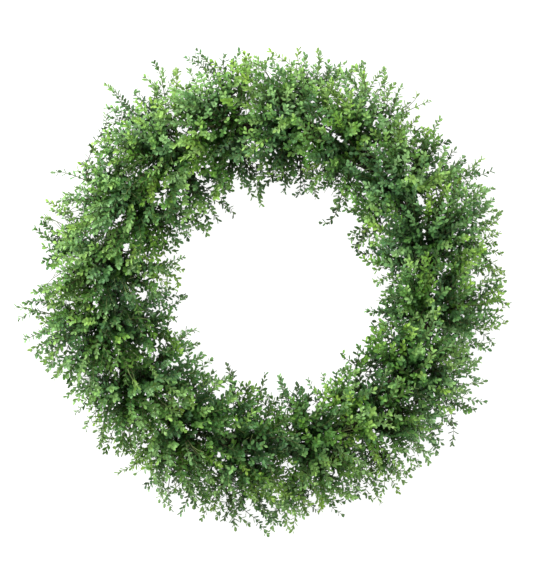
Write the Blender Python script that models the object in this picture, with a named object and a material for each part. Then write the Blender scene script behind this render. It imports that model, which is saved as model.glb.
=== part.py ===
"""A boxwood wreath: leafy bunches bound with one length of florist's wire to a welded double-hoop frame.

It lies on its back with its front up. The origin is the middle of its footprint on the surface, +Z leaves
through the front and +Y points to twelve o'clock. Lengths are in metres and angles in degrees.
"""

import math
import random

import bmesh
import bpy
from mathutils import Vector

# Driving dimensions of the whole wreath
RING_RADIUS = 0.258
TIP_RADIUS = 0.386
HOLE_RADIUS = 0.136
HOLE_SHIFT = 0.012
HOLE_SHIFT_ANGLE = -20.0
DEPTH = 0.128
STATIONS = 16
TOP_OF_RING = 90.0

# The frame of six-sided wire, with its hoops this far inside and outside the middle of the ring
FRAME_WIRE = 0.0032
HOOP_OFFSET = 0.011
HOOP_SEGMENTS = 36
WIRE_SIDES = 6
WELD_DEPTH = 0.00075
CROSSBARS = 8
CROSSBAR_OVERHANG = 0.0030

# The florist's wire, and the gap left where two pieces touch
BINDING_WIRE = 0.0014
GAP = 0.0003

# Where things lie within a station, in degrees past its start
BINDING_ANGLE = 5.5
TANGENT_ANGLE = 10.0

# Cut stems, gathered to a six-sided bundle; two bundles lie on the hoops and the third in the valley between
BUNDLE_RADIUS = 0.00647
BUNDLE_START = -0.036
BUNDLE_END = -0.013
BUNDLE_SPREAD = 0.009
BUNDLE_SHIFT = -0.0015
BUNDLE_SIDES = 6
UNEVEN_CORE = (0.85, 1.08)

# The slanted planes that part one station's foliage from the next, and those that part its three bunches
LEAN = 35.0
LEAN_HEIGHT = 0.028
FAN_HEIGHT = 0.010
FAN_ANGLE = 35.0
CLEARANCE = 0.0013
BEND_BEFORE = 0.006
LOWEST_LEAF = 0.0035

# Boxwood leaves, larger than life, in opposite pairs with one more at the tip
LEAF_PAIRS = 2
LEAF_LENGTH = 0.033
LEAF_WIDTH = 0.0185
LEAF_ANGLE = 54.0
LEAF_SPACING = 0.0232
LEAF_THICKNESS = 0.0010
LEAF_CUP = 0.18
TWIG_WIDTH = 0.0030
BARE_TWIG = 0.011
ROLL = 14.0
ARCH = (-0.004, 0.010)

SEED = 7

HOOP_CORNER = FRAME_WIRE / 2 / math.cos(math.pi / WIRE_SIDES)
HOOP_HEIGHT = FRAME_WIRE - WELD_DEPTH + HOOP_CORNER
BUNDLE_FLAT = BUNDLE_RADIUS * math.cos(math.pi / BUNDLE_SIDES)
LOW_BUNDLE = HOOP_HEIGHT + HOOP_CORNER + GAP + BUNDLE_FLAT
VALLEY = 2 * BUNDLE_FLAT + GAP - BUNDLE_SPREAD * math.cos(math.radians(30.0))
HIGH_BUNDLE = LOW_BUNDLE + VALLEY / math.sin(math.radians(30.0))

# The three bunches of a station. A bundle is (outward, up). A core has two rings, each (along the ring,
# outward, up, radius). A sprig is (its root along the ring, its tip's angle from upright, its tip along the
# ring, the most that its leaves are enlarged or reduced).
BUNCHES = {
    "inner": {
        "bundle": (BUNDLE_SHIFT - BUNDLE_SPREAD, LOW_BUNDLE),
        "core": ((0.008, -0.042, 0.034, 0.014), (0.032, -0.056, 0.048, 0.009)),
        "sprigs": (
            (0.010, -91.0, -0.010, 0.90),
            (0.004, -48.0, 0.050, 0.94),
        ),
    },
    "front": {
        "bundle": (BUNDLE_SHIFT, HIGH_BUNDLE),
        "core": ((0.012, 0.0, 0.043, 0.016), (0.042, 0.0, 0.064, 0.011)),
        "sprigs": (
            (0.004, 25.0, 0.034, 1.04),
            (0.018, -22.0, 0.058, 1.06),
            (0.036, 19.0, 0.100, 1.06),
        ),
    },
    "outer": {
        "bundle": (BUNDLE_SHIFT + BUNDLE_SPREAD, LOW_BUNDLE),
        "core": ((0.012, 0.044, 0.034, 0.017), (0.042, 0.060, 0.048, 0.011)),
        "sprigs": (
            (0.008, 91.0, -0.044, 1.12),
            (0.004, 52.0, 0.010, 1.04),
            (0.030, 86.0, 0.050, 1.08),
        ),
    },
}


def clear_scene():
    for thing in list(bpy.data.objects):
        bpy.data.objects.remove(thing)


def plain_material(name, colour, roughness, metallic):
    material = bpy.data.materials.new(name)
    material.use_nodes = True
    shader = material.node_tree.nodes["Principled BSDF"]
    shader.inputs["Base Color"].default_value = (*colour, 1.0)
    shader.inputs["Roughness"].default_value = roughness
    shader.inputs["Metallic"].default_value = metallic
    return material


def new_object(name, data, material=None):
    thing = bpy.data.objects.new(name, data)
    bpy.context.scene.collection.objects.link(thing)
    if material:
        data.materials.append(material)
    return thing


def mesh_of(name, points, faces):
    """A closed mesh with its faces pointing out."""
    shape = bmesh.new()
    corners = [shape.verts.new(point) for point in points]
    for face in faces:
        shape.faces.new([corners[index] for index in face])
    bmesh.ops.recalc_face_normals(shape, faces=shape.faces)
    mesh = bpy.data.meshes.new(name)
    shape.to_mesh(mesh)
    shape.free()
    return mesh


def loft(name, rings, closed):
    """A tube through rings of points, all of one count: an endless one if closed, or else with flat ends."""
    sides = len(rings[0])
    points = [point for ring in rings for point in ring]
    faces = []
    for first in range(len(rings) if closed else len(rings) - 1):
        second = (first + 1) % len(rings)
        for side in range(sides):
            after = (side + 1) % sides
            faces.append((
                first * sides + side,
                first * sides + after,
                second * sides + after,
                second * sides + side,
            ))
    if not closed:
        faces.append(tuple(range(sides)))
        faces.append(tuple(range(len(points) - sides, len(points))))
    return mesh_of(name, points, faces)


def fuse(body, others):
    """Joins the other solids to the body with one Boolean union, and keeps its largest shell."""
    gathered = bpy.data.collections.new(body.name + "_parts")
    bpy.context.scene.collection.children.link(gathered)
    for other in others:
        for owner in list(other.users_collection):
            owner.objects.unlink(other)
        gathered.objects.link(other)
    union = body.modifiers.new("Union", "BOOLEAN")
    union.operation = "UNION"
    union.operand_type = "COLLECTION"
    union.collection = gathered
    bpy.context.view_layer.objects.active = body
    bpy.ops.object.modifier_apply(modifier=union.name)
    for other in others:
        bpy.data.objects.remove(other)
    bpy.data.collections.remove(gathered)
    keep_largest_shell(body.data)


def keep_largest_shell(mesh):
    """Drops loose scraps and the walls of sealed hollows."""
    shape = bmesh.new()
    shape.from_mesh(mesh)
    left = set(shape.faces)
    shells = []
    while left:
        shell = [left.pop()]
        for face in shell:
            for edge in face.edges:
                for neighbour in edge.link_faces:
                    if neighbour in left:
                        left.remove(neighbour)
                        shell.append(neighbour)
        shells.append(shell)
    shells.sort(key=shell_area, reverse=True)
    extra = [face for shell in shells[1:] for face in shell]
    bmesh.ops.delete(shape, geom=extra, context="FACES")
    bmesh.ops.triangulate(shape, faces=shape.faces)
    shape.to_mesh(mesh)
    shape.free()


def shell_area(shell):
    return sum(face.calc_area() for face in shell)


def along_ring(angle):
    turn = math.radians(angle)
    return Vector((-math.sin(turn), math.cos(turn), 0.0))


def on_ring(angle, outward, up):
    """The point at an angle round the ring, so far outward of the middle of the frame and so high."""
    radius = RING_RADIUS + outward
    turn = math.radians(angle)
    return Vector((radius * math.cos(turn), radius * math.sin(turn), up))


def station_start(station):
    return TOP_OF_RING + station * 360.0 / STATIONS


def in_station(station, along, outward, up):
    """The point given along the ring's tangent, outward and up from a station's own reference point."""
    angle = station_start(station) + TANGENT_ANGLE
    return on_ring(angle, outward, up) + along_ring(angle) * along


# The frame: two hoops of wire and the crossbars that they are welded to


def hoop(name, outward):
    """A ring of wire with a flat side facing the middle of the wreath."""
    rings = []
    for segment in range(HOOP_SEGMENTS):
        angle = 360.0 * (segment + 0.5) / HOOP_SEGMENTS
        ring = []
        for side in range(WIRE_SIDES):
            turn = 2 * math.pi * (side + 0.5) / WIRE_SIDES
            across = outward + HOOP_CORNER * math.cos(turn)
            ring.append(on_ring(angle, across, HOOP_HEIGHT + HOOP_CORNER * math.sin(turn)))
        rings.append(ring)
    return new_object(name, loft(name, rings, closed=True))


def crossbar(number):
    """A short flat-bottomed bar under both hoops, between two stations."""
    angle = TOP_OF_RING + 360.0 * (number + 0.5) / CROSSBARS
    reach = HOOP_OFFSET + CROSSBAR_OVERHANG
    aside = along_ring(angle) * (FRAME_WIRE / 2)
    rings = []
    for outward in (-reach, reach):
        low = on_ring(angle, outward, 0.0)
        high = on_ring(angle, outward, FRAME_WIRE)
        rings.append([low - aside, low + aside, high + aside, high - aside])
    name = f"crossbar_{number + 1}"
    return new_object(name, loft(name, rings, closed=False))


def wire_frame(material):
    frame = hoop("wire_frame", -HOOP_OFFSET)
    frame.data.materials.append(material)
    others = [hoop("outer_hoop", HOOP_OFFSET)]
    others += [crossbar(number) for number in range(CROSSBARS)]
    fuse(frame, others)
    frame.data.shade_smooth()
    frame.data.set_sharp_from_angle(angle=math.radians(40.0))
    return frame


# The florist's wire: once round the frame and the stems at each station, then on to the next

WIRE_CLEARANCE = BINDING_WIRE / 2 + GAP
WRAP_DIRECTIONS = (-90.0, -168.0, 127.0, 90.0, 53.0, -12.0, -90.0)
UNDER_HOOP = HOOP_HEIGHT - HOOP_CORNER - WIRE_CLEARANCE
CROSSBAR_SLOPE = 0.0004
OVER_CROSSBAR = FRAME_WIRE + WIRE_CLEARANCE + CROSSBAR_SLOPE
BESIDE_HOOP = 0.0035
WRAP_ADVANCE = 0.0012
BINDING_TURN = math.radians(TANGENT_ANGLE - BINDING_ANGLE)
BINDING_SAG = RING_RADIUS * (1.0 - math.cos(BINDING_TURN))


def wrapped_outline():
    """The corners of the tight loop round both hoops and the three bundles, seen along the ring."""
    rounds = [(side * HOOP_OFFSET - BINDING_SAG, HOOP_HEIGHT, HOOP_CORNER) for side in (-1, 1)]
    for bunch in BUNCHES.values():
        rounds.append((*bunch["bundle"], BUNDLE_RADIUS))
    lines = []
    for direction in WRAP_DIRECTIONS:
        across = math.cos(math.radians(direction))
        up = math.sin(math.radians(direction))
        reach = max(x * across + z * up + radius for x, z, radius in rounds)
        lines.append((across, up, reach + WIRE_CLEARANCE))
    corners = []
    for (ax, az, a_reach), (bx, bz, b_reach) in zip(lines, lines[1:]):
        cross = ax * bz - az * bx
        corners.append(((a_reach * bz - b_reach * az) / cross, (ax * b_reach - bx * a_reach) / cross))
    return corners


def binding_route():
    along = -RING_RADIUS * math.sin(BINDING_TURN)
    inside = HOOP_OFFSET - BESIDE_HOOP
    outline = [(-inside - BINDING_SAG, UNDER_HOOP), *wrapped_outline(), (inside - BINDING_SAG, UNDER_HOOP)]
    route = []
    for station in range(STATIONS):
        for step, (outward, up) in enumerate(outline):
            advance = WRAP_ADVANCE * (step / (len(outline) - 1) - 0.5)
            route.append(in_station(station, along + advance, outward, up))
        if station < STATIONS - 1:
            route.append(on_ring(station_start(station + 1), 0.0, OVER_CROSSBAR))
    return route


def binding_wire(material):
    curve = bpy.data.curves.new("binding_wire", "CURVE")
    curve.dimensions = "3D"
    curve.bevel_depth = BINDING_WIRE / 2
    curve.bevel_resolution = 0
    curve.use_fill_caps = True
    route = binding_route()
    line = curve.splines.new("POLY")
    line.points.add(len(route) - 1)
    for point, place in zip(line.points, route):
        point.co = (*place, 1.0)
    return new_object("binding_wire", curve, material)


# The bunches: cut stems that open out into a core of twigs, and the leafy sprigs that stand out of it


def station_planes():
    """(normal, distance) of the two planes that bound a station's foliage, in its own directions."""
    lean = math.tan(math.radians(LEAN))
    behind = math.radians(TANGENT_ANGLE)
    ahead = math.radians(TANGENT_ANGLE - 360.0 / STATIONS)
    planes = []
    for turn, side in ((behind, 1.0), (ahead, -1.0)):
        normal = Vector((math.cos(turn), math.sin(turn), -lean)) * side
        distance = (RING_RADIUS * math.sin(turn) + LEAN_HEIGHT * lean) * side
        planes.append((normal.normalized(), distance / normal.length))
    return planes


def fan_planes(place):
    """The planes that part a bunch from the others of its station."""
    turn = math.radians(FAN_ANGLE)
    outer = Vector((0.0, math.cos(turn), -math.sin(turn)))
    inner = Vector((0.0, -math.cos(turn), -math.sin(turn)))
    drop = FAN_HEIGHT * math.sin(turn)
    if place == "outer":
        return [(outer, drop)]
    if place == "inner":
        return [(inner, drop)]
    return [(-outer, -drop), (-inner, -drop)]


def floor_plane():
    return Vector((0.0, 0.0, 1.0)), CLEARANCE - LOWEST_LEAF


def bent_clear(point, planes):
    """The point, eased back to the near side of each plane with the clearance kept."""
    room = BEND_BEFORE - CLEARANCE
    for normal, distance in planes:
        inside = normal.dot(point) + distance
        if inside < BEND_BEFORE:
            eased = CLEARANCE + room * math.exp((inside - BEND_BEFORE) / room)
            point = point + normal * (eased - inside)
    return point


def core_rings(place, draw):
    """Rings of points round the bundle of stems and the uneven core that it opens out into."""
    outward, up = BUNCHES[place]["bundle"]
    bundle = [(along, outward, up, BUNDLE_RADIUS) for along in (BUNDLE_START, BUNDLE_END)]
    rings = []
    for along, across, height, radius in [*bundle, *BUNCHES[place]["core"]]:
        ring = []
        for side in range(BUNDLE_SIDES):
            turn = 2 * math.pi * (side + 0.5) / BUNDLE_SIDES
            size = radius * (draw.uniform(*UNEVEN_CORE) if along > BUNDLE_END else 1.0)
            ring.append(Vector((along, across + size * math.sin(turn), height + size * math.cos(turn))))
        rings.append(ring)
    return rings


def core_middle(place, along):
    """The point on the core's middle line, so far along the ring."""
    outward, up = BUNCHES[place]["bundle"]
    near, far = BUNCHES[place]["core"]
    low, high = ((BUNDLE_END, outward, up), near[:3]) if along < near[0] else (near[:3], far[:3])
    share = (along - low[0]) / (high[0] - low[0])
    return Vector(low).lerp(Vector(high), share)


def reach_at(station, tip_angle, along):
    """How far the leaf tips stand from the middle of the fan, by the way that they point."""
    turn = math.radians(tip_angle)
    ring_angle = station_start(station) + TANGENT_ANGLE - HOLE_SHIFT_ANGLE
    if tip_angle > 0:
        side = TIP_RADIUS - RING_RADIUS
    else:
        side = RING_RADIUS - HOLE_RADIUS - HOLE_SHIFT * math.cos(math.radians(ring_angle))
    sideways = math.sin(turn) ** 2
    sag = along * along / 2 / (RING_RADIUS + side * math.sin(turn))
    return side * sideways + (DEPTH - FAN_HEIGHT) * (1.0 - sideways) - sag * math.sin(turn)


def leaf_corners(base, side, length, width):
    """The three free corners of a leaf beside a twig: (along the twig, across it, share of its length)."""
    turn = math.radians(LEAF_ANGLE)
    corners = []
    for share, offset in ((0.5, -width / 2), (1.0, 0.0), (0.56, width / 2)):
        along = base + share * length * math.cos(turn) + offset * math.sin(turn)
        across = TWIG_WIDTH / 2 + share * length * math.sin(turn) - offset * math.cos(turn)
        corners.append((along, side * across, share))
    return corners


def sprig_plan(length, scale):
    """Flat points, as in leaf_corners, and triangles of a twig with leaves in pairs and one at its tip."""
    half = TWIG_WIDTH / 2
    leaf = LEAF_LENGTH * scale
    width = LEAF_WIDTH * scale
    spacing = LEAF_SPACING * scale
    first = length - leaf - LEAF_PAIRS * spacing
    points = [(0.0, -half, 0.0), (0.0, half, 0.0), (first, -half, 0.0), (first, half, 0.0)]
    triangles = [(0, 1, 3), (0, 3, 2)]
    for pair in range(LEAF_PAIRS):
        start = first + pair * spacing
        low = len(points) - 2
        high = len(points) + 6
        for side in (-1, 1):
            lower = len(points)
            middle, upper = lower + 1, lower + 2
            axil, next_axil = (low, high) if side < 0 else (low + 1, high + 1)
            points += leaf_corners(start + spacing / 2, side, leaf, width)
            leaf_triangles = [(axil, lower, next_axil), (lower, upper, next_axil), (lower, middle, upper)]
            triangles += [triangle[::side] for triangle in leaf_triangles]
        points += [(start + spacing, -half, 0.0), (start + spacing, half, 0.0)]
        triangles += [(low, low + 1, high + 1), (low, high + 1, high)]
    low = len(points) - 2
    belly = length - leaf / 2
    points += [(belly, -width / 2, 0.5), (length, 0.0, 1.0), (belly, width / 2, 0.5)]
    triangles += [(low, low + 1, low + 4), (low, low + 4, low + 2), (low + 2, low + 4, low + 3)]
    return points, triangles


def rim_edges(triangles):
    """The edges that only one triangle has, each in its triangle's own turn."""
    directed = {(triangle[i - 1], triangle[i]) for triangle in triangles for i in range(3)}
    return sorted(edge for edge in directed if edge[::-1] not in directed)


def sprig(name, station, root, tip, scale, planes, draw):
    """A thin arched plate cut to the outline of a leafy twig, its broad side towards the front."""
    along = tip - root
    length = along.length
    along.normalize()
    level = along.cross(Vector((0.0, 0.0, 1.0))).normalized()
    upright = level.cross(along)
    roll = math.radians(draw.uniform(-ROLL, ROLL))
    across = level * math.cos(roll) + upright * math.sin(roll)
    facing = upright * math.cos(roll) - level * math.sin(roll)
    arch = draw.uniform(*ARCH)
    plan, triangles = sprig_plan(length, scale)
    middle = []
    for forward, aside, share in plan:
        way = forward / length
        rise = arch * 4 * way * (1 - way) + LEAF_CUP * share * abs(aside)
        place = root + along * forward + across * aside + facing * rise
        middle.append(bent_clear(place, planes) if way > 0 else place)
    lift = facing * (LEAF_THICKNESS / 2)
    solid = [point + lift for point in middle] + [point - lift for point in middle]
    count = len(middle)
    faces = triangles + [tuple(count + index for index in reversed(triangle)) for triangle in triangles]
    for start, end in rim_edges(triangles):
        faces += [(end, start, count + start), (end, count + start, count + end)]
    placed = [in_station(station, *point) for point in solid]
    return new_object(name, mesh_of(name, placed, faces))


def leafy_bunch(station, place, material, draw):
    """One bunch of the wreath, with its stems, core and sprigs fused."""
    planes = [*station_planes(), *fan_planes(place), floor_plane()]
    name = f"bunch_{station + 1:02d}_{place}"
    rings = [[in_station(station, *point) for point in ring] for ring in core_rings(place, draw)]
    body = new_object(name, loft(name, rings, closed=False), material)
    sprigs = []
    for root_along, angle, tip_along, scale in BUNCHES[place]["sprigs"]:
        angle += draw.uniform(-5.0, 5.0)
        tip_along += draw.uniform(-0.006, 0.006)
        reach = reach_at(station, angle, tip_along)
        turn = math.radians(angle)
        tip = Vector((tip_along, reach * math.sin(turn), FAN_HEIGHT + reach * math.cos(turn)))
        root = core_middle(place, root_along)
        leafy = LEAF_LENGTH + LEAF_PAIRS * LEAF_SPACING
        scale = min(scale * draw.uniform(0.93, 1.05), ((tip - root).length - BARE_TWIG) / leafy)
        sprigs.append(sprig(f"{name}_sprig", station, root, tip, scale, planes, draw))
    fuse(body, sprigs)
    return body


def wreath():
    galvanised = plain_material("galvanised_wire", (0.32, 0.33, 0.34), 0.45, 1.0)
    florist = plain_material("green_florist_wire", (0.030, 0.070, 0.035), 0.5, 0.6)
    greens = {
        "inner": plain_material("inner_leaf_green", (0.040, 0.115, 0.030), 0.55, 0.0),
        "front": plain_material("front_leaf_green", (0.075, 0.175, 0.050), 0.5, 0.0),
        "outer": plain_material("outer_leaf_green", (0.110, 0.230, 0.065), 0.5, 0.0),
    }
    wire_frame(galvanised)
    binding_wire(florist)
    draw = random.Random(SEED)
    for station in range(STATIONS):
        for place, green in greens.items():
            leafy_bunch(station, place, green, draw)


clear_scene()
wreath()
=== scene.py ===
import math
import random

import bmesh
import bpy
import numpy as np
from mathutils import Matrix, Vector, noise


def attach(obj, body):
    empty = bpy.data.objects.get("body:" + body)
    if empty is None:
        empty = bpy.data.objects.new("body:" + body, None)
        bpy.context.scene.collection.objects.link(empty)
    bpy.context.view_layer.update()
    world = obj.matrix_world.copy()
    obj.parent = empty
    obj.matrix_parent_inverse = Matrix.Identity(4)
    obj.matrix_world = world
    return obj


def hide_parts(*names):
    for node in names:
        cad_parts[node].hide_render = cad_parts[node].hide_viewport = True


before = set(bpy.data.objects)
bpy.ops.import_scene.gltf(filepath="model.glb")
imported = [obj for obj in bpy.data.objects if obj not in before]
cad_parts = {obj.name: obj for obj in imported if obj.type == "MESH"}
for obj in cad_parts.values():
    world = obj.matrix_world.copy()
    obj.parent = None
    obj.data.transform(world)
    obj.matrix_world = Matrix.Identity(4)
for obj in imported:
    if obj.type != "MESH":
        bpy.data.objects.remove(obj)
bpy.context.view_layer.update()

# The frame that everything is tied to: two hoops of 3.2 mm galvanised steel wire, butt welded shut and laid
# on eight short crossbars, with a spot weld at each crossing. It lies between the foliage and the wall.
RING_RADIUS = 0.258
FRAME_WIRE = 0.0032
HOOP_OFFSET = 0.011
HOOP_HEIGHT = 0.0042974
HOOP_WELDS = {-HOOP_OFFSET: 64.0, HOOP_OFFSET: 247.0}
HOOP_WELD_REACH = 0.0045
HOOP_WELD_SWELL = 0.0003
CROSSBARS = 8
CROSSBAR_REACH = 0.014
SHEARED_EDGE = 0.0004
BEAD_RADIUS = 0.0021
BEAD_HEIGHT = FRAME_WIRE * 0.92
BEAD_SHAPE = (1.25, 1.25, 0.55)


def nothing_selected():
    if bpy.context.object and bpy.context.object.mode != "OBJECT":
        bpy.ops.object.mode_set(mode="OBJECT")
    bpy.ops.object.select_all(action="DESELECT")


def only(piece):
    nothing_selected()
    piece.select_set(True)
    bpy.context.view_layer.objects.active = piece
    return piece


def pick_corners(piece, wanted):
    """Selects, in edit mode, the corners of a piece whose place passes the test."""
    bpy.ops.object.mode_set(mode="EDIT")
    bpy.ops.mesh.select_mode(type="VERT")
    shape = bmesh.from_edit_mesh(piece.data)
    for corner in shape.verts:
        corner.select = wanted(corner.co)
    shape.select_flush_mode()
    bmesh.update_edit_mesh(piece.data)


def settled(piece, smooth_angle):
    """Puts a piece's place into its mesh and smooths all but its sharp edges."""
    only(piece)
    bpy.ops.object.transform_apply(location=True, rotation=True, scale=True)
    bpy.ops.object.shade_smooth_by_angle(angle=math.radians(smooth_angle))
    return piece


def joined(name, parts):
    nothing_selected()
    for part in parts:
        part.select_set(True)
    bpy.context.view_layer.objects.active = parts[0]
    bpy.ops.object.join()
    parts[0].name = name
    parts[0].data.name = name
    return parts[0]


def hoop(offset, weld_angle):
    """A ring of round wire, a little thicker where its two ends are welded."""
    nothing_selected()
    bpy.ops.mesh.primitive_torus_add(
        major_radius=RING_RADIUS + offset,
        minor_radius=FRAME_WIRE / 2,
        major_segments=216,
        minor_segments=12,
        location=(0.0, 0.0, HOOP_HEIGHT),
        generate_uvs=False,
    )
    wire = bpy.context.object
    turn = math.radians(weld_angle)
    middle = Vector((math.cos(turn), math.sin(turn), 0.0)) * (RING_RADIUS + offset)
    pick_corners(wire, lambda place: (place - middle).length < HOOP_WELD_REACH)
    bpy.ops.transform.shrink_fatten(value=-HOOP_WELD_SWELL)
    bpy.ops.object.mode_set(mode="OBJECT")
    return settled(wire, 60.0)


def crossbar(number):
    """A bar with sheared ends, and the bead of its weld to each hoop."""
    turn = 2 * math.pi * (number + 0.5) / CROSSBARS + math.pi / 2
    outward = Vector((math.cos(turn), math.sin(turn), 0.0))
    nothing_selected()
    bpy.ops.mesh.primitive_cylinder_add(
        vertices=12,
        radius=FRAME_WIRE / 2,
        depth=2 * CROSSBAR_REACH,
        location=outward * RING_RADIUS + Vector((0.0, 0.0, FRAME_WIRE / 2)),
        rotation=(0.0, math.pi / 2, turn),
    )
    bar = bpy.context.object
    rounding = bar.modifiers.new("sheared_ends", "BEVEL")
    rounding.width = SHEARED_EDGE
    rounding.segments = 2
    rounding.limit_method = "ANGLE"
    bpy.ops.object.modifier_apply(modifier=rounding.name)
    parts = [settled(bar, 40.0)]
    for offset in (-HOOP_OFFSET, HOOP_OFFSET):
        nothing_selected()
        bpy.ops.mesh.primitive_ico_sphere_add(
            subdivisions=2,
            radius=BEAD_RADIUS,
            location=outward * (RING_RADIUS + offset) + Vector((0.0, 0.0, BEAD_HEIGHT)),
        )
        bead = bpy.context.object
        bead.scale = BEAD_SHAPE
        parts.append(settled(bead, 80.0))
    return parts


class Value:
    """A socket of a finish being mixed. Arithmetic on it adds the Math nodes."""

    def __init__(self, finish, socket):
        self.finish = finish
        self.socket = socket

    def maths(self, operation, *values):
        return self.finish.node("ShaderNodeMath", {"operation": operation}, dict(enumerate(values)))

    def __add__(self, other):
        return self.maths("ADD", self, other)

    __radd__ = __add__

    def __mul__(self, other):
        return self.maths("MULTIPLY", self, other)

    __rmul__ = __mul__

    def __sub__(self, other):
        return self.maths("SUBTRACT", self, other)

    def __rsub__(self, other):
        return self.maths("SUBTRACT", other, self)

    def __truediv__(self, other):
        return self.maths("DIVIDE", self, other)

    def __abs__(self):
        return self.maths("ABSOLUTE", self)

    def __gt__(self, other):
        return self.maths("GREATER_THAN", self, other)

    def whole(self):
        return self.maths("FLOOR", self)

    def rest(self):
        return self.maths("FRACT", self)

    def between(self, low, high):
        """Rises smoothly from 0 at low to 1 at high."""
        settings = {"interpolation_type": "SMOOTHSTEP"}
        return self.finish.node("ShaderNodeMapRange", settings, {0: self, 1: low, 2: high})


class Finish:
    """A material with its nodes added one by one."""

    def __init__(self, name, **shader_values):
        self.material = bpy.data.materials.new(name)
        self.material.use_nodes = True
        self.tree = self.material.node_tree
        self.shader = self.tree.nodes["Principled BSDF"]
        for socket, value in shader_values.items():
            self.shader.inputs[socket.replace("_", " ")].default_value = value

    def node(self, kind, settings=None, sockets=None, output=0):
        added = self.tree.nodes.new(kind)
        for name, value in (settings or {}).items():
            if name == "stops":
                self.set_stops(added.color_ramp, value)
            else:
                setattr(added, name, value)
        for name, value in (sockets or {}).items():
            self.feed(added.inputs[name], value)
        return Value(self, added.outputs[output])

    def set_stops(self, ramp, stops):
        while len(ramp.elements) < len(stops):
            ramp.elements.new(1.0)
        for element, (place, colour) in zip(ramp.elements, stops):
            element.position = place
            element.color = (*colour, 1.0)

    def feed(self, socket, value):
        if isinstance(value, Value):
            self.tree.links.new(value.socket, socket)
        else:
            socket.default_value = value

    def mix(self, share, first, second):
        """One colour over another, each a colour socket or three numbers."""
        below, above = (c if isinstance(c, Value) else (*c, 1.0) for c in (first, second))
        return self.node("ShaderNodeMix", {"data_type": "RGBA"}, {0: share, 6: below, 7: above}, 2)

    def shades(self, value, stops):
        return self.node("ShaderNodeValToRGB", {"stops": stops}, {"Fac": value})

    def noise(self, place, scale, detail=3.0, roughness=0.5):
        sockets = {"Vector": place, "Scale": scale, "Detail": detail, "Roughness": roughness}
        return self.node("ShaderNodeTexNoise", None, sockets)

    def wear(self, **inputs):
        """Links what varies over the surface to the shader."""
        for name, value in inputs.items():
            self.feed(self.shader.inputs[name.replace("_", " ")], value)

    def relief(self, height, distance, strength):
        sockets = {"Height": height, "Distance": distance, "Strength": strength}
        self.wear(Normal=self.node("ShaderNodeBump", None, sockets))


def galvanised_steel():
    """Dull zinc with its crystal spangle, and chalky white bloom in patches."""
    zinc = Finish("galvanised_steel", Metallic=0.9)
    place = zinc.node("ShaderNodeTexCoord", output=3)
    spangle = zinc.node("ShaderNodeTexVoronoi", None, {"Vector": place, "Scale": 520.0}, 1)
    grey = zinc.node("ShaderNodeSeparateColor", None, {0: spangle})
    bloom = zinc.noise(place, 160.0, 5.0, 0.65).between(0.52, 0.70)
    bright = zinc.mix(grey, (0.30, 0.31, 0.32), (0.50, 0.51, 0.52))
    colour = zinc.mix(bloom * 0.7, bright, (0.60, 0.60, 0.58))
    soot = zinc.noise(place, 55.0, 3.0, 0.6).between(0.60, 0.75)
    zinc.wear(
        Base_Color=zinc.mix(soot * 0.5, colour, (0.16, 0.13, 0.10)),
        Roughness=0.38 + grey * 0.14 + bloom * 0.25,
    )
    zinc.relief(grey * 0.3 + zinc.noise(place, 900.0, 2.0), 0.00008, 0.6)
    return zinc.material


frame_parts = [hoop(offset, weld_angle) for offset, weld_angle in HOOP_WELDS.items()]
for number in range(CROSSBARS):
    frame_parts += crossbar(number)
wire_hoops = joined("wire_hoops", frame_parts)
wire_hoops.data.materials.append(galvanised_steel())
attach(wire_hoops, "root")
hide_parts("wire_frame")


# The florist's wire: one length of 1.4 mm enamelled paddle wire, pulled tight three times round each
# gathering of stems and both hoops, then carried along between the hoops to the next one.
STATIONS = 16
TOP_OF_RING = 90.0
TANGENT_ANGLE = 10.0
BINDING_ANGLE = 5.5
BINDING_WIRE = 0.0014
BINDING_TURNS = 3
BINDING_WIDTH = 0.0058
WIRE_GAP = 0.0003
WIRE_CLEARANCE = BINDING_WIRE / 2 + WIRE_GAP
HOOP_CORNER = 0.0018475
UNDER_HOOP = 0.00145
OVER_CROSSBAR = 0.0046
BESIDE_HOOP = 0.0075
CLEAR_OF_CROSSBAR = 1.5
CORNER_CUTS = (0.18, 0.82)
WRAP_DIRECTIONS = (-90.0, -168.0, 127.0, 90.0, 53.0, -12.0, -90.0)
BUNDLE_RADIUS = 0.00647
BUNDLES = {
    "inner": (-0.0105, 0.01205),
    "front": (-0.0015, 0.01947),
    "outer": (0.0075, 0.01205),
}


def station_start(station):
    return TOP_OF_RING + station * 360.0 / STATIONS


def on_ring(angle, outward, up):
    """The point at an angle round the ring, so far outward of the middle of the frame and so high."""
    turn = math.radians(angle)
    radius = RING_RADIUS + outward
    return Vector((radius * math.cos(turn), radius * math.sin(turn), up))


def in_station(station, along, outward, up):
    """The point given along the ring's tangent, outward and up from a station's own reference point."""
    angle = station_start(station) + TANGENT_ANGLE
    turn = math.radians(angle)
    return on_ring(angle, outward, up) + Vector((-math.sin(turn), math.cos(turn), 0.0)) * along


def wrap_outline(sag):
    """The corners of the tight loop round both hoops and the three bundles, seen along the ring."""
    rounds = [(side * HOOP_OFFSET - sag, HOOP_HEIGHT, HOOP_CORNER) for side in (-1, 1)]
    rounds += [(*bundle, BUNDLE_RADIUS) for bundle in BUNDLES.values()]
    lines = []
    for direction in WRAP_DIRECTIONS:
        across = math.cos(math.radians(direction))
        up = math.sin(math.radians(direction))
        reach = max(x * across + z * up + radius for x, z, radius in rounds)
        lines.append((across, up, reach + WIRE_CLEARANCE))
    corners = []
    for (ax, az, a_reach), (bx, bz, b_reach) in zip(lines, lines[1:]):
        cross = ax * bz - az * bx
        corners.append(((a_reach * bz - b_reach * az) / cross, (ax * b_reach - bx * a_reach) / cross))
    return corners


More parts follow.
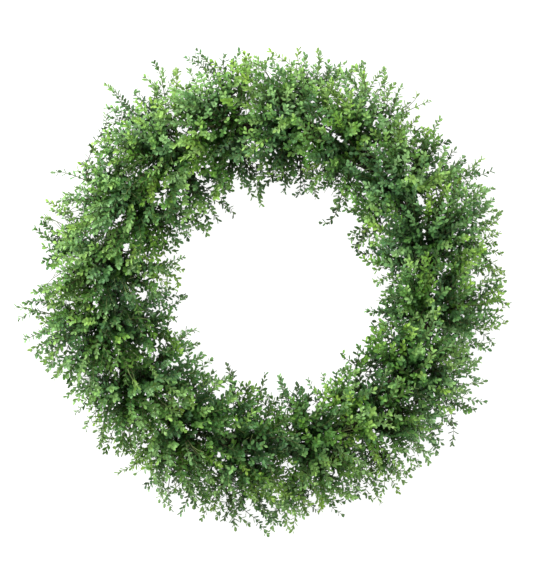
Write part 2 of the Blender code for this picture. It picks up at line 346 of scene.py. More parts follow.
def eased(route):
    """The route with its corners cut, as wire bends round them."""
    softer = [route[0]]
    for start, end in zip(route, route[1:]):
        softer += [start.lerp(end, share) for share in CORNER_CUTS]
    return [*softer, route[-1]]


def binding_route():
    """The middle line of the whole length of wire, from the first station's turns to the last's."""
    turn = math.radians(TANGENT_ANGLE - BINDING_ANGLE)
    sag = RING_RADIUS * (1.0 - math.cos(turn))
    under = ((-BESIDE_HOOP - sag, UNDER_HOOP), (BESIDE_HOOP - sag, UNDER_HOOP))
    outline = [under[0], *wrap_outline(sag), under[1]]
    steps = BINDING_TURNS * len(outline)
    route = []
    for station in range(STATIONS):
        for step in range(steps):
            outward, up = outline[step % len(outline)]
            advance = BINDING_WIDTH * (step / (steps - 1) - 0.5)
            route.append(in_station(station, advance - RING_RADIUS * math.sin(turn), outward, up))
        if station < STATIONS - 1:
            for past in (-CLEAR_OF_CROSSBAR, CLEAR_OF_CROSSBAR):
                route.append(on_ring(station_start(station + 1) + past, 0.0, OVER_CROSSBAR))
    return eased(eased(route))


def green_enamel():
    """Dark green enamel on steel wire, rubbed bright where it was pulled tight."""
    enamel = Finish("green_enamelled_wire", Metallic=0.35)
    place = enamel.node("ShaderNodeTexCoord", output=3)
    rubbed = enamel.noise(place, 330.0, 4.0, 0.7).between(0.60, 0.68)
    depth = enamel.noise(place, 90.0)
    green = enamel.mix(depth, (0.010, 0.045, 0.016), (0.028, 0.095, 0.036))
    enamel.wear(
        Base_Color=enamel.mix(rubbed * 0.8, green, (0.28, 0.29, 0.27)),
        Roughness=0.34 + depth * 0.16,
        Metallic=rubbed * 0.7 + 0.2,
    )
    enamel.relief(enamel.noise(place, 1400.0, 2.0), 0.00005, 0.5)
    return enamel.material


path = bpy.data.curves.new("florist_wire", "CURVE")
path.dimensions = "3D"
path.bevel_depth = BINDING_WIRE / 2
path.bevel_resolution = 1
path.use_fill_caps = True
route = binding_route()
line = path.splines.new("POLY")
line.points.add(len(route) - 1)
for point, place in zip(line.points, route):
    point.co = (*place, 1.0)
florist_wire = bpy.data.objects.new("florist_wire", path)
bpy.context.scene.collection.objects.link(florist_wire)
only(florist_wire)
bpy.ops.object.convert(target="MESH")
bpy.ops.object.mode_set(mode="EDIT")
bpy.ops.mesh.select_all(action="SELECT")
bpy.ops.mesh.remove_doubles(threshold=0.00002)
bpy.ops.mesh.normals_make_consistent(inside=False)
settled(florist_wire, 60.0)
florist_wire.data.materials.append(green_enamel())
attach(florist_wire, "root")
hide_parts("binding_wire")


# The boxwood leaf: a thin oval blade a centimetre long, broadest past its middle, creased along its midrib
# and a little arched. It is modelled once, lying along +Y with its stalk end at the origin, and then copied.
LEAF_LENGTH = 0.0098
LEAF_WIDTH = 0.565
LEAF_THICKNESS = 0.045
BLADE_MIDDLE = 0.52
# The map has a column for each age of a leaf's face, then of its back, and a row for each tone
MAP_COLUMNS = 16
MAP_ROWS = 8
AGES = 8
TONES = 7
MIDDLE_TONE = 4.0
PRINT_WIDTH = 0.86
PRINT_START = 0.04
PRINT_LENGTH = 0.92
LEAF_GLOSS = 0.30
LEAF_STOPS = (
    (0.00, (0.015, 0.062, 0.007)),
    (0.25, (0.038, 0.129, 0.021)),
    (0.50, (0.090, 0.230, 0.045)),
    (0.75, (0.163, 0.338, 0.070)),
    (1.00, (0.262, 0.456, 0.112)),
)
MIDRIB_GREEN = (0.46, 0.60, 0.20)
UNDERSIDE_GREEN = (0.26, 0.33, 0.17)


def boxwood_leaf():
    """Narrower to the stalk and blunt at the tip, its sides raised, its midrib low, its ends bent down."""
    nothing_selected()
    bpy.ops.mesh.primitive_cone_add(
        vertices=8,
        radius1=0.5,
        radius2=0.0,
        depth=LEAF_THICKNESS,
        end_fill_type="NGON",
        location=(0.0, 0.5, 0.0),
    )
    leaf = bpy.context.object
    only(leaf)
    bpy.ops.object.transform_apply(location=True)
    pick_corners(leaf, lambda place: abs(place.x) < 0.01 and place.z < 0.0)
    bpy.ops.mesh.vert_connect()
    bpy.ops.mesh.select_all(action="SELECT")
    bpy.ops.mesh.quads_convert_to_tris(quad_method="BEAUTY", ngon_method="BEAUTY")
    pick_corners(leaf, lambda place: place.y < 0.3 and abs(place.x) > 0.1)
    bpy.ops.transform.resize(value=(0.80, 1.0, 1.0))
    pick_corners(leaf, lambda place: place.y > 0.7 and abs(place.x) > 0.1)
    bpy.ops.transform.translate(value=(0.0, -0.05, 0.0))
    pick_corners(leaf, lambda place: abs(place.x) > 0.1)
    bpy.ops.transform.translate(value=(0.0, 0.05, 0.045))
    pick_corners(leaf, lambda place: abs(place.x) < 0.01 and abs(place.y - 0.5) < 0.1)
    bpy.ops.transform.translate(value=(0.0, 0.02, -0.012))
    pick_corners(leaf, lambda place: place.y > 0.95)
    bpy.ops.transform.translate(value=(0.0, 0.0, -0.07))
    pick_corners(leaf, lambda place: place.y < 0.05)
    bpy.ops.transform.translate(value=(0.0, 0.0, -0.02))
    bpy.ops.object.mode_set(mode="OBJECT")
    return leaf


# The faces that meet at the raised corner in the middle of the blade are the leaf's face, the rest its back
pattern_leaf = boxwood_leaf()
leaf_corners = np.array([corner.co for corner in pattern_leaf.data.vertices])
leaf_faces = np.array([face.vertices for face in pattern_leaf.data.polygons])
top_corner = int(np.argmax(leaf_corners[:, 2] - 9.0 * np.abs(leaf_corners[:, 1] - BLADE_MIDDLE)))
leaf_back = ~(leaf_faces == top_corner).any(axis=1)
bpy.data.objects.remove(pattern_leaf)


def leaf_green():
    """Leaf green by age, with the painted rim light and hole shade carried in it, and tone, each leaf's
    print laid out on its own cell of the map.
    """
    leaf = Finish("boxwood_leaf", Specular_IOR_Level=LEAF_GLOSS)
    place = leaf.node("ShaderNodeUVMap", {"uv_map": "OFBake"})
    across = leaf.node("ShaderNodeSeparateXYZ", None, {0: place}, 0) * MAP_COLUMNS
    along = leaf.node("ShaderNodeSeparateXYZ", None, {0: place}, 1) * MAP_ROWS
    column = across.whole()
    row = along.whole()
    back = column > AGES - 0.5
    age = (column - back * AGES) / (AGES - 1)
    x = (across.rest() - 0.5) / PRINT_WIDTH
    y = (along.rest() - PRINT_START) / PRINT_LENGTH
    spot = leaf.node("ShaderNodeCombineXYZ", None, {0: x * 0.62, 1: y, 2: column * 3.7 + row * 9.1})
    mottle = leaf.noise(spot, 5.0, 4.0, 0.6)
    from_rib = abs(x)
    midrib = 1.0 - from_rib.between(0.012, 0.05 - y * 0.028)
    slant = ((y - from_rib * 0.85) * 8.0).rest()
    veins = (1.0 - abs(slant - 0.5).between(0.03, 0.16)) * (1.0 - from_rib.between(0.34, 0.46))
    tone = row - MIDDLE_TONE
    tint = {
        "Color": leaf.shades(age, LEAF_STOPS),
        "Hue": 0.508 + tone * -0.0075,
        "Saturation": 0.97 + tone * 0.055,
        "Value": 1.0 + tone * 0.025 + (mottle - 0.5) * 0.28,
    }
    colour = leaf.node("ShaderNodeHueSaturation", None, tint)
    paler = leaf.mix(0.45, colour, MIDRIB_GREEN)
    colour = leaf.mix(midrib * 0.55 + veins * 0.14, colour, paler)
    under = leaf.mix(0.42, colour, UNDERSIDE_GREEN)
    colour = leaf.mix(back, colour, under)
    leaf.wear(Base_Color=colour, Roughness=0.40 + mottle * 0.16 + back * 0.16)
    leaf.relief(mottle * 0.35 + veins * 0.3 - midrib * 0.8, 0.00016, 0.7)
    return leaf.material


leaf_finish = leaf_green()


# The twigs that carry the leaves: square young shoots no thicker than a match, brown and ridged where they
# are old, olive and then green towards the tip. Each is swept along its own bent line.
BARK_STOPS = (
    (0.000, (0.520, 0.400, 0.220)),
    (0.035, (0.480, 0.360, 0.190)),
    (0.045, (0.085, 0.066, 0.045)),
    (0.400, (0.070, 0.050, 0.030)),
    (0.700, (0.090, 0.100, 0.035)),
    (1.000, (0.180, 0.260, 0.070)),
)
BARK_SHADOW = (0.030, 0.022, 0.015)
# Where on the map, from left to right, cut wood is and where bark starts, and how far bark runs
CUT_WOOD = 0.018
BARK_START = 0.06
BARK_LENGTH = 0.93
BARK_HEIGHT = 0.11
STILL_OLD = 0.2
ROD_SIDE_FROM = (0.31, 0.17, 0.94)
OFF_THE_WALL = 0.0006
TWIG_OFF_THE_WALL = 0.0032


def swept(line, radii, sides):
    """The corners, triangles and map places of a rod swept along a line, closed at both ends."""
    line = np.asarray(line)
    count = len(line)
    ways = np.gradient(line, axis=0)
    ways /= np.linalg.norm(ways, axis=1, keepdims=True)
    side = np.cross(ways[0], ROD_SIDE_FROM)
    turns = 2 * np.pi * np.arange(sides) / sides
    rings = []
    for place, way, radius in zip(line, ways, radii):
        side = side - way * side.dot(way)
        side /= np.linalg.norm(side)
        other = np.cross(way, side)
        ring = np.cos(turns)[:, None] * side + np.sin(turns)[:, None] * other
        rings.append(place + radius * ring)
    corners = np.concatenate([*rings, line[:1], line[-1:] + ways[-1:] * radii[-1]])
    first, last = count * sides, count * sides + 1
    share = np.repeat(np.linspace(0.0, 1.0, count), sides)
    around = np.tile(np.arange(sides) / sides, count)
    triangles = []
    for ring in range(count - 1):
        for corner in range(sides):
            a = ring * sides + corner
            b = ring * sides + (corner + 1) % sides
            triangles += [(a, b, b + sides), (a, b + sides, a + sides)]
    for corner in range(sides):
        after = (corner + 1) % sides
        triangles.append((first, after, corner))
        triangles.append((last, (count - 1) * sides + corner, (count - 1) * sides + after))
    share = np.append(share, (-1.0, 1.0))
    around = np.append(around, (0.5, 0.5))
    return corners, np.array(triangles), share, around


def bark():
    """Bark by thickness: cut wood, then grey-brown, red-brown, olive and green."""
    skin = Finish("boxwood_bark", Specular_IOR_Level=0.35)
    place = skin.node("ShaderNodeUVMap", {"uv_map": "OFBake"})
    across = skin.node("ShaderNodeSeparateXYZ", None, {0: place}, 0)
    along = skin.node("ShaderNodeSeparateXYZ", None, {0: place}, 1) * MAP_ROWS
    spot = skin.node("ShaderNodeCombineXYZ", None, {0: across * 9.0, 1: along * 3.0, 2: 0.0})
    ridges = skin.noise(spot, 9.0, 5.0, 0.65)
    rings = (1.0 - abs((across * 46.0).rest() - 0.5).between(0.02, 0.12)) * across.between(0.05, 0.1)
    colour = skin.shades(across, BARK_STOPS)
    darker = skin.mix(0.6, colour, BARK_SHADOW)
    skin.wear(
        Base_Color=skin.mix(ridges.between(0.42, 0.62) * 0.55 + rings * 0.25, colour, darker),
        Roughness=0.62 + ridges * 0.2,
    )
    skin.relief(ridges - rings * 0.5, 0.0003, 0.7)
    return skin.material


bark_finish = bark()


class Growth:
    """The corners, triangles, map places and finishes of one bunch, as it is put together."""

    LEAF, BARK = 0, 1

    def __init__(self):
        self.corners = []
        self.faces = []
        self.places = []
        self.finishes = []
        self.count = 0

    def add(self, corners, faces, places, finish):
        self.corners.append(corners)
        self.faces.append(faces + self.count)
        self.places.append(places)
        self.finishes.append(np.full(len(faces), finish))
        self.count += len(corners)

    def rod(self, line, radii, sides, young_from, young_to):
        """Adds a stem or twig whose bark runs from one age to another."""
        corners, faces, share, around = swept(line, radii, sides)
        age = np.where(share < 0, 0.0, young_from + (young_to - young_from) * np.maximum(share, 0.0))
        age = np.where((share < 0) & (young_from > STILL_OLD), young_from, age)
        places = np.stack([BARK_START + BARK_LENGTH * age, BARK_HEIGHT * around], axis=1)[faces]
        cut = (faces == len(corners) - 2).any(axis=1) & (young_from < STILL_OLD)
        places[cut, :, 0] = CUT_WOOD
        self.add(corners, faces, places, self.BARK)

    def leaves(self, bases, ways, facings, lengths, widths, ages, tones):
        """Adds a copy of the leaf for each row of the tables."""
        across = np.cross(ways, facings)
        x, y, z = leaf_corners.T
        corners = (
            bases[:, None]
            + across[:, None] * (x[None, :] * widths[:, None])[:, :, None]
            + ways[:, None] * (y[None, :] * lengths[:, None])[:, :, None]
            + facings[:, None] * (z[None, :] * lengths[:, None])[:, :, None]
        )
        corners[:, :, 2] += np.maximum(OFF_THE_WALL - corners[:, :, 2].min(axis=1), 0.0)[:, None]
        faces = leaf_faces[None] + (np.arange(len(bases)) * len(leaf_corners))[:, None, None]
        column = ages[:, None] + AGES * leaf_back[None, :]
        at = leaf_corners[leaf_faces]
        u = (column[:, :, None] + 0.5 + PRINT_WIDTH * at[None, :, :, 0]) / MAP_COLUMNS
        v = (tones[:, None, None] + PRINT_START + PRINT_LENGTH * at[None, :, :, 1]) / MAP_ROWS
        places = np.stack([u, v], axis=-1).reshape(-1, 3, 2)
        self.add(corners.reshape(-1, 3), faces.reshape(-1, 3), places, self.LEAF)

    def mesh(self, name):
        corners = np.concatenate(self.corners)
        faces = np.concatenate(self.faces)
        mesh = bpy.data.meshes.new(name)
        mesh.vertices.add(len(corners))
        mesh.vertices.foreach_set("co", corners.astype(np.float32).ravel())
        mesh.loops.add(faces.size)
        mesh.loops.foreach_set("vertex_index", faces.astype(np.int32).ravel())
        mesh.polygons.add(len(faces))
        mesh.polygons.foreach_set("loop_start", np.arange(0, faces.size, 3, dtype=np.int32))
        mesh.polygons.foreach_set("material_index", np.concatenate(self.finishes).astype(np.int32))
        mesh.update(calc_edges=True)
        layer = mesh.uv_layers.new(name="OFBake", do_init=False)
        layer.uv.foreach_set("vector", np.concatenate(self.places).astype(np.float32).ravel())
        return mesh


# The bunches: at each of the sixteen ties, three handfuls of cut boxwood, one laid to the inside, one
# standing to the front and one to the outside. Eleven stems in each branch out to a dome of leafy tips.
TIP_RADIUS = 0.386
HOLE_RADIUS = 0.136
HOLE_SHIFT = 0.012
HOLE_SHIFT_ANGLE = -20.0
DEPTH = 0.126
FAN_HEIGHT = 0.010
LEAN = math.tan(math.radians(35.0))
LEAN_HEIGHT = 0.028
TIE_START = -0.036
TIE_END = -0.013
STEMS = 11
STEM_RINGS = ((3, 0.0018, 0.3), (8, 0.0046, 0.0))
STEM_RADII = (0.00150, 0.00150, *(0.00148 - 0.00112 * (n / 8) ** 0.8 for n in range(9)))
TWIG_RADII = tuple(0.00085 - 0.00055 * n / 4 for n in range(5))
STATION_MIDDLE = 0.02
LOWEST_TIP = 0.006
GOLDEN_SHARE = 0.6180339
SEED = 11
# For each bunch, the angles from upright that its shoots fan out between, how many are full length, how many
# are low and how many lean over the next bunch, and the share of the full reach that the longest come to
BUNCHES = {
    "inner": {"fan": (-98.0, -30.0), "shoots": 25, "low_shoots": 4, "over_next": 13, "reach": 0.96},
    "front": {"fan": (-40.0, 40.0), "shoots": 37, "low_shoots": 6, "over_next": 12, "reach": 0.92},
    "outer": {"fan": (30.0, 99.0), "shoots": 41, "low_shoots": 8, "over_next": 19, "reach": 1.015},
}
# How much further or less far the outermost and innermost tips reach, in mm, by 32nds of the ring
OUTER_REACH = (
    *(-2, 3, 20, 1, -2, 14, -2, -5, -5, 9, 1, 20, -18, -24, 3, -10),
    *(1, 14, -13, -16, -2, -2, 9, -5, 9, -8, 6, 14, 3, -5, -8, 1),
)
INNER_REACH = (
    *(-11, 8, 7, -11, -3, -16, -8, -8, 13, -5, 16, 2, 1, 5, 11, 11),
    *(1, -8, 5, 1, -1, 9, 14, -9, 14, -7, -16, -17, -8, -5, 11, 3),
)
OUTER_REACH_STRENGTH = 1.3
LONE_HEIGHTS = (0.018, 0.050)
# Leaves past a radius are painted paler, as painted light on the rim; they are paler towards the top and
# darker towards the bottom, paler in patches, painted darker round the hole as painted shade, and older
# deep inside; patches come in three sizes, each a scale and a weight, and the tone drifts over wider ones
RIM_FROM = 0.262
RIM_WIDTH = 0.040
RIM_PAINTED_LIGHT = 0.19
PALER_TO_TOP = 0.07
HOLE_SIDE = 0.205
HOLE_SIDE_PAINTED_SHADE = 0.05
DEEP_INSIDE = 0.10
DEEP_AGE = 0.50
AGE_SPREAD = 0.055
PATCHES = ((22.0, 1.0), (50.0, 0.6), (10.0, 0.45))
PATCHINESS = 0.46
TONE_SCALE = 14.0
TONE_DRIFT = 3.0
# How leaves stand on a twig: degrees from it, how far a pair's two leaves stray, how much they turn to light
LEAF_SPREAD = (44.0, 66.0)
PAIR_STRAY = 0.25
TOWARD_LIGHT = 0.50
LEAF_SIDE_FROM = (0.2, 0.3, 0.93)
# Thin places, where few leaves grew above a height: the angle round the ring, radius, width and height
THIN_PLACES = (
    *((177.1, 0.336, 0.015, 0.0), (8.6, 0.181, 0.011, 0.0), (244.0, 0.343, 0.013, 0.0)),
    *((158.0, 0.328, 0.012, 0.0), (300.8, 0.348, 0.011, 0.0), (235.1, 0.350, 0.011, 0.0)),
    *((56.8, 0.181, 0.011, 0.0), (51.4, 0.366, 0.010, 0.0), (163.1, 0.346, 0.011, 0.0)),
    *((352.7, 0.172, 0.010, 0.0), (186.0, 0.350, 0.012, 0.0), (311.3, 0.339, 0.011, 0.0)),
    *((223.2, 0.335, 0.011, 0.0), (225.1, 0.315, 0.009, 0.0), (107.7, 0.173, 0.010, 0.0)),
    *((89.9, 0.333, 0.010, 0.0), (334.0, 0.344, 0.010, 0.0), (206.1, 0.318, 0.010, 0.0)),
    *((106.8, 0.274, 0.019, 0.055), (225.9, 0.238, 0.016, 0.060), (296.6, 0.255, 0.016, 0.060)),
    *((244.8, 0.267, 0.016, 0.060), (191.8, 0.208, 0.015, 0.055), (272.7, 0.284, 0.020, 0.060)),
    *((262.0, 0.232, 0.016, 0.060), (62.3, 0.248, 0.015, 0.060), (22.2, 0.262, 0.012, 0.080)),
    *((212.6, 0.245, 0.014, 0.060), (129.1, 0.253, 0.014, 0.060), (178.7, 0.213, 0.013, 0.060)),
)
LEFT_IN_THIN_PLACES = 0.2
# Lone sprigs that stand out past the rest: the angle round the ring, and how far out their tips are
LONE_SPRIGS = (
    *((18.0, 0.386), (27.5, 0.400), (31.0, 0.392), (49.0, 0.390), (52.5, 0.384), (59.0, 0.374)),
    *((81.0, 0.370), (97.0, 0.374), (107.0, 0.394), (117.0, 0.398), (120.5, 0.386), (128.5, 0.397)),
    *((132.0, 0.384), (152.0, 0.384), (163.0, 0.374), (184.5, 0.399), (187.5, 0.402), (191.5, 0.391)),
    *((197.0, 0.380), (231.0, 0.379), (243.0, 0.381), (254.0, 0.380), (262.0, 0.379), (275.5, 0.386)),
    *((288.0, 0.380), (297.5, 0.389), (332.0, 0.386), (351.5, 0.380), (356.0, 0.376)),
    *((50.5, 0.131), (95.0, 0.131), (140.0, 0.126), (211.0, 0.133), (268.0, 0.138), (318.5, 0.158)),
)


def by_angle(table, angle):
    """A value in metres, read between the entries of a table in mm that goes round the ring."""
    step = angle * len(table) / 360.0 - 0.5
    low = math.floor(step)
    near, far = table[low % len(table)], table[(low + 1) % len(table)]
    return (near + (far - near) * (step - low)) / 1000.0


def reach_at(station, fan_angle, along):
    """How far the leaf tips stand from the middle of the fan, by the way that they point."""
    turn = math.radians(fan_angle)
    radius = RING_RADIUS + (TIP_RADIUS - RING_RADIUS) * math.sin(turn)
    ring_angle = station_start(station) + TANGENT_ANGLE + math.degrees(math.atan2(along, radius))
    if fan_angle > 0:
        side = TIP_RADIUS - RING_RADIUS + OUTER_REACH_STRENGTH * by_angle(OUTER_REACH, ring_angle)
    else:
        shift = HOLE_SHIFT * math.cos(math.radians(ring_angle - HOLE_SHIFT_ANGLE))
        side = RING_RADIUS - HOLE_RADIUS - shift + by_angle(INNER_REACH, ring_angle)
    sideways = math.sin(turn) ** 2
    sag = along * along / 2 / (RING_RADIUS + side * math.sin(turn))
    return side * sideways + (DEPTH - FAN_HEIGHT) * (1.0 - sideways) - sag * math.sin(turn)


def along_between(share, outward, up):
    """The place along the ring at a share of the way across a station's own slice of foliage."""
    behind = math.radians(TANGENT_ANGLE)
    ahead = math.radians(360.0 / STATIONS - TANGENT_ANGLE)
    lean = LEAN * (up - LEAN_HEIGHT)
    low = (lean - (outward + RING_RADIUS) * math.sin(behind)) / math.cos(behind)
    high = (lean + (outward + RING_RADIUS) * math.sin(ahead)) / math.cos(ahead)
    return low + (high - low) * share


def bent_line(start, heading, tip, arriving, count):
    """Points on a smooth bend that leaves start along heading and comes to tip along arriving."""
    length = (tip - start).length
    first = start + heading * (length * 0.36)
    second = tip - arriving * (length * 0.34)
    points = []
    for step in range(count):
        t = step / (count - 1)
        s = 1.0 - t
        point = start * s**3 + first * (3 * s * s * t) + second * (3 * s * t * t) + tip * t**3
        point.z = max(point.z, TWIG_OFF_THE_WALL)
        points.append(point)
    return points


def stem_places():
    """Where the cut stems lie in a round bundle: three in the middle and eight round them."""
    places = []
    for count, radius, turn in STEM_RINGS:
        for index in range(count):
            angle = 2 * math.pi * index / count + turn
            places.append((radius * math.cos(angle), radius * math.sin(angle)))
    return sorted(places)


def in_thin_place(base):
    """Whether a leaf would grow in one of the places that have few."""
    for angle, radius, width, height in THIN_PLACES:
        turn = math.radians(angle)
        if math.hypot(base[0] - radius * math.cos(turn), base[1] - radius * math.sin(turn)) < width:
            if base[2] >= height:
                return True
    return False


def leaf_age_with_painted_light(base, tip, share, vigour, draw):
    """A leaf's age by where it grows, with painted light on the rim and painted shade round the hole added:
    0 for the darkest and 1 for the palest, or a little past them.
    """
    depth = min(1.0, np.linalg.norm(base - tip) / DEEP_INSIDE)
    radius = math.hypot(base[0], base[1])
    # Painted light: leaves past RIM_FROM are made paler, standing in for the brighter light on the wreath's
    # rim
    rim_light = min(max((radius - RIM_FROM) / RIM_WIDTH, 0.0), 1.0)
    # Painted shade: leaves inside HOLE_SIDE are made darker, standing in for shade on the recessed side
    # round the hole
    hole_shade = min(max((HOLE_SIDE - radius) / RIM_WIDTH, 0.0), 1.0)
    patch = sum(weight * noise.noise(Vector(base) * scale) for scale, weight in PATCHES)
    age = vigour * (0.24 + 0.76 * share**1.6) + draw.gauss(0.0, AGE_SPREAD)
    age = age * (1.0 - DEEP_AGE * depth) + RIM_PAINTED_LIGHT * rim_light - HOLE_SIDE_PAINTED_SHADE * hole_shade
    # Leaves are made paler towards the top of the wreath and darker towards the bottom
    return age + (PALER_TO_TOP * base[1] / TIP_RADIUS + PATCHINESS * patch)


def leafy(growth, station, line, vigour, tone, draw, bare, room):
    """Sets pairs of leaves on a line, each pair at right angles to the last, young and small at the tip."""
    line = np.array([in_station(station, *point) for point in line])
    steps = np.linalg.norm(np.diff(line, axis=0), axis=1)
    walked = np.append(0.0, np.cumsum(steps))
    length = walked[-1]
    middle = np.array(in_station(station, STATION_MIDDLE, 0.0, FAN_HEIGHT))
    at = min(bare + draw.uniform(0.0, 0.004), 0.3 * length)
    turn = draw.uniform(0.0, math.pi)
    rows = []
    while at < length:
        share = at / length
        segment = min(np.searchsorted(walked, at, side="right") - 1, len(steps) - 1)
        part = (at - walked[segment]) / steps[segment]
        base = line[segment] * (1 - part) + line[segment + 1] * part
        way = (line[segment + 1] - line[segment]) / steps[segment]
        side = np.cross(way, LEAF_SIDE_FROM)
        side /= np.linalg.norm(side)
        other = np.cross(way, side)
        outward = base - middle
        outward /= np.linalg.norm(outward)
        toward_light = np.array((outward[0] * 0.4, outward[1] * 0.4, 1.0))
        spread = math.radians(draw.uniform(*LEAF_SPREAD) - 22.0 * max(0.0, share - 0.8) / 0.2)
        size = LEAF_LENGTH * draw.uniform(0.84, 1.14) * (1.0 - 0.18 * max(0.0, share - 0.72) / 0.28)
        missing = in_thin_place(base) and draw.random() > LEFT_IN_THIN_PLACES
        halves = () if missing else (0.0, math.pi)
        for half in halves:
            angle = turn + half + draw.uniform(-PAIR_STRAY, PAIR_STRAY)
            away = side * math.cos(angle) + other * math.sin(angle)
            leaf_way = way * math.cos(spread) + away * math.sin(spread)
            facing = way * math.sin(spread) - away * math.cos(spread)
            stray = np.array([draw.gauss(0.0, 0.18) for _ in range(3)])
            facing = facing + toward_light * TOWARD_LIGHT + stray
            facing -= leaf_way * facing.dot(leaf_way) / leaf_way.dot(leaf_way)
            age = leaf_age_with_painted_light(base, line[-1], share, vigour, draw)
            length_now = size * draw.uniform(0.92, 1.08)
            leaf_tone = tone + draw.choice((-1, 0, 0, 0, 0, 1))
            leaf_tone += TONE_DRIFT * noise.noise(Vector(base) * TONE_SCALE)
            rows.append((base, leaf_way, facing, length_now, age, leaf_tone))
        turn += math.pi / 2 + draw.uniform(-0.15, 0.15)
        at += room * (0.0084 - 0.0046 * share**2) * draw.uniform(0.85, 1.15)
    if not rows:
        return
    bases, ways, facings = (np.array([row[n] for row in rows]) for n in range(3))
    ways /= np.linalg.norm(ways, axis=1, keepdims=True)
    facings /= np.linalg.norm(facings, axis=1, keepdims=True)
    lengths = np.array([row[3] for row in rows])
    widths = lengths * LEAF_WIDTH
    ages = np.clip(np.array([row[4] for row in rows]) * AGES, 0, AGES - 1).astype(int)
    tones = np.clip(np.rint([row[5] for row in rows]), 1, TONES).astype(int)
    growth.leaves(bases, ways, facings, lengths, widths, ages, tones)


def tip_of(station, fan_angle, share, fullness):
    """The station's own coordinates of a shoot's tip and the way that it points there."""
    turn = math.radians(fan_angle)
    along = STATION_MIDDLE
    for _ in range(3):
        reach = reach_at(station, fan_angle, along) * fullness
        outward = reach * math.sin(turn)
        up = max(FAN_HEIGHT + reach * math.cos(turn), LOWEST_TIP)
        along = along_between(share, outward, up)
    return Vector((along, outward, up))


def shoots_of(station, place, draw):
    """The shoots of one bunch, as the way each points, how full it is and where its tip is."""
    plan = BUNCHES[place]
    low, high = plan["fan"]
    shoots = []

    def fanned(number, stray):
        return low + (high - low) * ((number * GOLDEN_SHARE + draw.uniform(0.0, stray)) % 1.0)

    def add(fan_angle, share, fullness):
        shoots.append((fan_angle, share, fullness, tip_of(station, fan_angle, share, fullness)))

    for number in range(plan["shoots"]):
        fan_angle = fanned(number, 0.12)
        share = (number + draw.uniform(-2.0, 2.0)) / plan["shoots"]
        add(fan_angle, share, max(plan["reach"] - abs(draw.gauss(0.0, 0.16)), 0.5))
    for number in range(plan["low_shoots"]):
        fan_angle = fanned(number, 0.2)
        share = (number + draw.random()) / plan["low_shoots"]
        add(fan_angle, share * 0.5 - 0.08, draw.uniform(0.22, 0.62))
    for number in range(plan["over_next"]):
        fan_angle = fanned(number, 0.2)
        full = ((number + draw.random()) / plan["over_next"]) ** 1.6
        add(fan_angle, draw.uniform(1.02, 1.30) - 0.12 * full, 0.16 + 0.70 * full)
    for angle, radius in LONE_SPRIGS:
        turn = (angle - station_start(station)) % 360.0
        if turn < 360.0 / STATIONS and (radius > RING_RADIUS) == (place == "outer") and place != "front":
            turn = math.radians(turn - TANGENT_ANGLE)
            outward = radius * math.cos(turn) - RING_RADIUS
            tip = Vector((radius * math.sin(turn), outward, draw.uniform(*LONE_HEIGHTS)))
            shoots.append((math.copysign(88.0, outward), 0.5, 1.2, tip))
    return shoots


def sprays(shoots):
    """Shares the shoots out among the stems, so that the ones on a stem stay near one another."""
    shoots.sort(key=lambda shoot: shoot[:2])
    handed = []
    for band in range(4):
        near = shoots[band * len(shoots) // 4 : (band + 1) * len(shoots) // 4]
        handed += sorted(near, key=lambda shoot: shoot[1] * (1 - 2 * (band % 2)))
    return [handed[n * len(handed) // STEMS : (n + 1) * len(handed) // STEMS] for n in range(STEMS)]


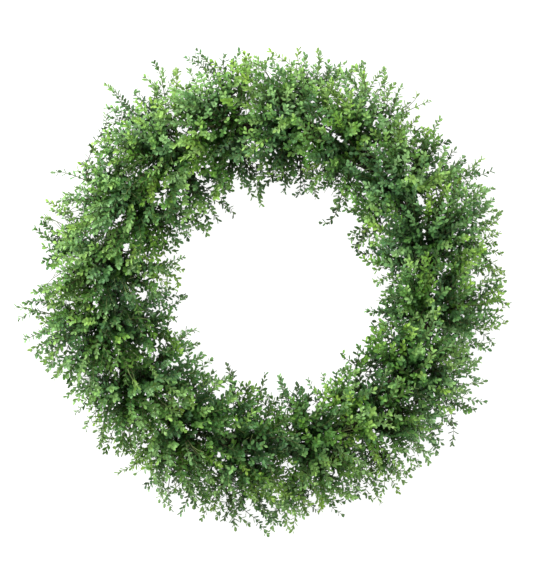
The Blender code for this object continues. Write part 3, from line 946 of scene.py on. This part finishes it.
def bunch(station, place, draw):
    """One handful of stems, its side shoots and all their leaves."""
    growth = Growth()
    outward, up = BUNDLES[place]
    for (x, z), group in zip(stem_places(), sprays(shoots_of(station, place, draw))):
        spare = draw.uniform(0.0, 0.008)
        cut = Vector((TIE_START + spare, outward + x, up + z))
        leave = Vector((TIE_END, outward + x, up + z))
        tone = draw.randint(2, 6)
        spray_vigour = draw.uniform(0.36, 1.04)
        spray_reach = draw.uniform(0.80, 1.04)
        group = sorted(group, key=lambda shoot: -shoot[2])
        for order, (fan_angle, share, fullness, tip) in enumerate(group):
            middle = Vector((tip.x, 0.0, FAN_HEIGHT))
            if 0.5 <= fullness < 1.1:
                tip = middle + (tip - middle) * spray_reach
            vigour = spray_vigour + draw.choice((-0.24, -0.12, 0.0, 0.12, 0.24))
            room = 1.3 if fullness > 1.1 else 1.0
            shoot_tone = tone + draw.choice((-1, 0, 1))
            toward = Vector((draw.uniform(-0.006, 0.016), outward * 0.5, FAN_HEIGHT))
            arriving = (tip - toward).normalized() * 0.8 + Vector((0.25, 0.0, 0.0))
            arriving += Vector([draw.gauss(0.0, 0.42) for _ in range(3)])
            arriving.normalize()
            if order == 0:
                heading = Vector((1.0, x * 30.0, z * 30.0)).normalized()
                bend = main_line = bent_line(leave, heading, tip, arriving, 9)
                whole = [in_station(station, *point) for point in (cut, cut.lerp(leave, 0.5), *bend)]
                growth.rod(whole, STEM_RADII, 6, 0.0, 1.0)
                leafy(growth, station, bend, vigour, shoot_tone, draw, 0.012, room)
            else:
                joint = draw.uniform(0.18, 0.55) * 8
                index = int(joint)
                start = main_line[index].lerp(main_line[index + 1], joint - index)
                heading = (main_line[index + 1] - main_line[index]).normalized()
                bend = bent_line(start, heading, tip, arriving, 5)
                whole = [in_station(station, *point) for point in bend]
                growth.rod(whole, TWIG_RADII, 4, 0.45, 1.0)
                leafy(growth, station, bend, vigour, shoot_tone, draw, 0.008, room)
    name = f"bunch_{station + 1:02d}_{place}_sprigs"
    sprigs = bpy.data.objects.new(name, growth.mesh(name))
    bpy.context.scene.collection.objects.link(sprigs)
    sprigs.data.materials.append(leaf_finish)
    sprigs.data.materials.append(bark_finish)
    settled(sprigs, 50.0)
    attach(sprigs, "root")
    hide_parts(f"bunch_{station + 1:02d}_{place}")


draw = random.Random(SEED)
for station in range(STATIONS):
    for place in BUNCHES:
        bunch(station, place, draw)


# The studio: a plain white sheet under the wreath, a broad soft light to its upper left and a weaker one to
# its upper right, and a camera that looks straight down on the front, as the photograph was taken.
def white_sheet():
    sheet = Finish(
        "white_sheet",
        Base_Color=(0.25, 0.25, 0.25, 1.0),
        Emission_Color=(1.0, 1.0, 1.0, 1.0),
        Emission_Strength=0.95,
        Roughness=0.9,
    )
    return sheet.material


nothing_selected()
bpy.ops.mesh.primitive_plane_add(size=9.0, location=(0.0, 0.0, -0.0002))
floor = bpy.context.object
floor.name = "floor"
floor.data.materials.append(white_sheet())


def soft_light(name, place, size, power):
    light = bpy.data.lights.new(name, "AREA")
    light.shape = "SQUARE"
    light.size = size
    light.energy = power
    lamp = bpy.data.objects.new(name, light)
    bpy.context.scene.collection.objects.link(lamp)
    lamp.location = place
    lamp.rotation_mode = "QUATERNION"
    lamp.rotation_quaternion = (-Vector(place)).to_track_quat("-Z", "Y")


soft_light("softbox_left", (-2.3, 1.3, 1.6), 1.7, 145.0)
soft_light("softbox_right", (2.1, 1.6, 1.7), 1.5, 50.0)

studio = bpy.data.worlds.new("studio")
studio.use_nodes = True
studio.node_tree.nodes["Background"].inputs["Color"].default_value = (1.0, 1.0, 1.0, 1.0)
studio.node_tree.nodes["Background"].inputs["Strength"].default_value = 0.57
bpy.context.scene.world = studio
bpy.context.scene.view_settings.view_transform = "Standard"

lens = bpy.data.cameras.new("camera")
lens.lens = 100.0
lens.sensor_width = 36.0
lens.clip_end = 50.0
camera = bpy.data.objects.new("camera", lens)
bpy.context.scene.collection.objects.link(camera)
camera.location = (-0.0031, 0.0071, 2.516)
bpy.context.scene.camera = camera
